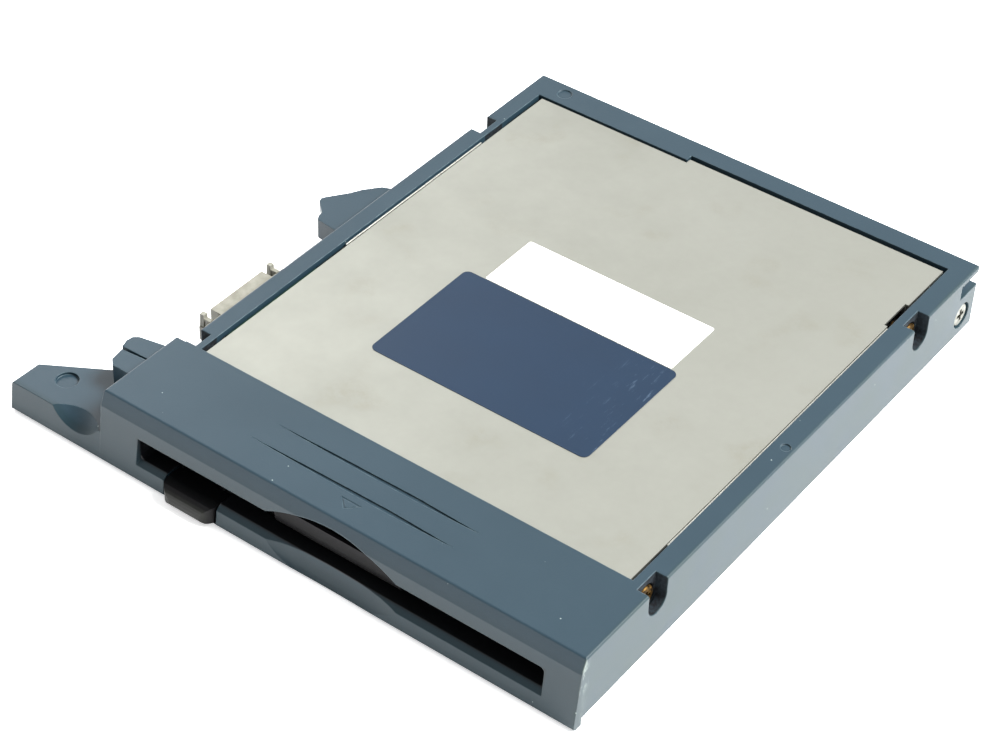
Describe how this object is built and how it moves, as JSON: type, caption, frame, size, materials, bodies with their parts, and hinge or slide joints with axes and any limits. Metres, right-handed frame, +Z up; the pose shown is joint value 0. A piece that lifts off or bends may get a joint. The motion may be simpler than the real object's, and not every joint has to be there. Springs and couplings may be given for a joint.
{
  "type": "floppy disk drive",
  "caption": "Slim floppy disk drive module in a plastic bay case, with a slot, eject button and docking connector.",
  "frame": {"origin": "spindle axis (the centre line of a loaded disk) where it meets the flat underside of the case", "axes": "+X to the right along the front, +Y from the front face to the rear wall, +Z up through the top cover"},
  "size_m": [0.131, 0.1374, 0.0156],
  "materials": {
    "case_plastic": "fine moulded texture, blue-grey",
    "cover_steel": "satin, pale grey",
    "base_steel": "zinc plated",
    "sheet_steel": "zinc plated",
    "dark_plastic": "moulded, near black",
    "door_plastic": "moulded, dark grey",
    "cream_plastic": "moulded",
    "yellow_zinc": "yellow chromate",
    "bright_steel": "ground",
    "spring_steel": "drawn wire",
    "gold_contact": "plated",
    "green_board": "solder mask",
    "black_package": "moulded",
    "copper_wire": "enamelled",
    "magnet": "bonded ferrite",
    "amber_film": "polyimide",
    "grey_ribbon": "flat cable",
    "blue_paper": "printed film",
    "white_paper": "paper label",
    "white_plastic": "acetal",
    "glass_ceramic": "ceramic head"
  },
  "bodies": {
    "case": {"case_frame": "case_plastic", "bottom_cover": "base_steel", "cover_screws": "sheet_steel", "side_wall_screw": "sheet_steel", "drive_fixing_screws": "yellow_zinc", "dock_connector_housing": "cream_plastic", "dock_connector_contacts": "gold_contact", "connector_board": "green_board", "door_spring": "spring_steel", "drive_top_cover": "cover_steel", "drive_chassis": "sheet_steel", "slider_springs": "spring_steel", "lever_post": "bright_steel", "lever_spring": "spring_steel", "motor_board": "green_board", "spindle_bearing": "yellow_zinc", "stator_core": "sheet_steel", "stator_coils": "copper_wire", "media_switch_bodies": "black_package", "stepper_motor": "sheet_steel", "stepper_bracket": "sheet_steel", "lead_screw_bearing": "white_plastic", "guide_rod": "bright_steel", "guide_rod_clamps": "dark_plastic", "track_zero_sensor": "black_package", "main_board": "green_board", "board_chips": "black_package", "ribbon_socket": "cream_plastic", "ribbon_cable": "grey_ribbon", "head_flex": "amber_film", "blue_label": "blue_paper", "white_label": "white_paper"},
    "slider": {"cam_slider": "sheet_steel", "eject_button": "dark_plastic"},
    "carrier": {"disk_carrier": "sheet_steel", "carrier_guide_pins": "bright_steel"},
    "lever": {"shutter_lever": "sheet_steel"},
    "door": {"dust_door": "door_plastic"},
    "spindle": {"spindle_rotor": "sheet_steel", "ring_magnet": "magnet", "hub_magnet": "magnet", "spindle_shaft": "bright_steel", "drive_pin": "bright_steel"},
    "carriage": {"head_carriage": "dark_plastic", "lower_head": "glass_ceramic", "arm_pivot_pin": "bright_steel", "arm_spring": "spring_steel"},
    "head_arm": {"upper_head_arm": "dark_plastic", "upper_head": "glass_ceramic"},
    "screw": {"lead_screw": "bright_steel"},
    "disk_sensor": {"disk_in_plunger": "white_plastic"},
    "protect_sensor": {"write_protect_plunger": "white_plastic"}
  },
  "joints": [
    {"name": "eject_slide", "type": "slide", "parent": "case", "child": "slider", "axis": [0, 1, 0], "range_m": [-0.004, 0], "deforming": ["slider_springs"]},
    {"name": "carrier_lift", "type": "slide", "parent": "case", "child": "carrier", "axis": [0, 0, 1], "range_m": [-0.0013, 0]},
    {"name": "shutter_swing", "type": "hinge", "parent": "case", "child": "lever", "pos_m": [0.042, 0.057, 0], "axis": [0, 0, 1], "range_deg": [-61, 0], "deforming": ["lever_spring"]},
    {"name": "door_swing", "type": "hinge", "parent": "case", "child": "door", "pos_m": [0, -0.0467, 0.0114], "axis": [1, 0, 0], "range_deg": [0, 85], "stiffness_Nm_per_rad": 0.0004, "springref_deg": -34.38, "deforming": ["door_spring"]},
    {"name": "spindle_spin", "type": "hinge", "parent": "case", "child": "spindle", "pos_m": [0, 0, 0], "axis": [0, 0, 1], "continuous": true},
    {"name": "head_slide", "type": "slide", "parent": "case", "child": "carriage", "axis": [0, 1, 0], "range_m": [-0.0148, 0], "deforming": ["head_flex"]},
    {"name": "head_lift", "type": "hinge", "parent": "carriage", "child": "head_arm", "pos_m": [0, 0.072, 0.0104], "axis": [1, 0, 0], "range_deg": [0, 3.8]},
    {"name": "screw_spin", "type": "hinge", "parent": "case", "child": "screw", "pos_m": [0.015, 0.06, 0.0064], "axis": [0, 1, 0], "range_deg": [-1776.5, 0.5]},
    {"name": "disk_sensor_press", "type": "slide", "parent": "case", "child": "disk_sensor", "axis": [0, 0, 1], "range_m": [-0.0005, 0], "stiffness_N_per_m": 150, "springref_m": 0.0005},
    {"name": "protect_sensor_press", "type": "slide", "parent": "case", "child": "protect_sensor", "axis": [0, 0, 1], "range_m": [-0.0005, 0], "stiffness_N_per_m": 150, "springref_m": 0.0005}
  ],
  "couplings": [
    {"joint": "carrier_lift", "follows": "eject_slide", "ratio": 0.325},
    {"joint": "shutter_swing", "follows": "eject_slide", "rad_per_m": 265.7},
    {"joint": "head_lift", "follows": "eject_slide", "rad_per_m": -15.88},
    {"joint": "screw_spin", "follows": "head_slide", "rad_per_m": 2094.4}
  ]
}
